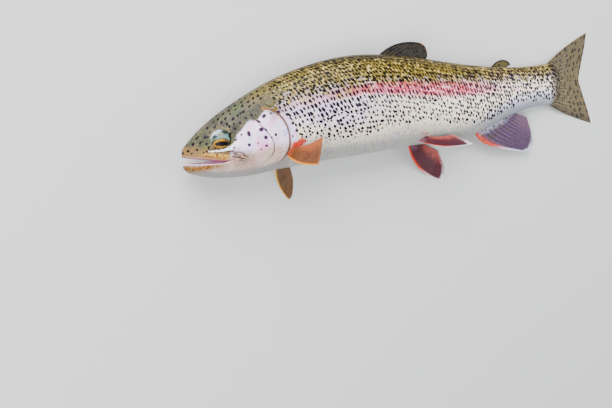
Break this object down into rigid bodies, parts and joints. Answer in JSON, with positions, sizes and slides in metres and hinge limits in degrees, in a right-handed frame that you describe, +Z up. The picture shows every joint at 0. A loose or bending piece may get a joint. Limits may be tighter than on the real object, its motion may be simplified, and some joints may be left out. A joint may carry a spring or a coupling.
{
  "type": "rainbow trout",
  "caption": "Life-size rainbow trout lying on its right side, left flank up, mouth a little open, fins half spread.",
  "frame": {"origin": "on the floor, under the middle of the whole fish's bounding box", "axes": "+X from the snout to the tail fin, +Y towards the back, +Z up, out of the left flank"},
  "size_m": [0.4112, 0.1308, 0.0655],
  "materials": {
    "olive_back": "wet gloss, dark spots",
    "silver_cheek": "wet gloss, silvery with a pink tint",
    "speckled_flank": "wet gloss, small scales, black spots and a pink stripe",
    "pale_jaw": "wet gloss",
    "gold_eye": "clear gloss over a gold iris",
    "pink_tongue": "wet gloss",
    "dark_fin": "wet, spotted, ribbed by rays",
    "violet_fin": "wet, ribbed by rays, pale tips",
    "amber_fin": "wet, ribbed by rays"
  },
  "bodies": {
    "root": {"head": "olive_back", "lower_jaw": "pale_jaw", "tongue": "pink_tongue", "gill_cover_left": "silver_cheek", "gill_cover_right": "silver_cheek", "eye_left": "gold_eye", "eye_right": "gold_eye", "trunk": "speckled_flank", "tail": "speckled_flank", "dorsal_fin": "dark_fin", "adipose_fin": "dark_fin", "tail_fin": "dark_fin", "anal_fin": "violet_fin", "pelvic_fin_left": "violet_fin", "pelvic_fin_right": "violet_fin", "pectoral_fin_left": "amber_fin", "pectoral_fin_right": "amber_fin"}
  },
  "joints": []
}
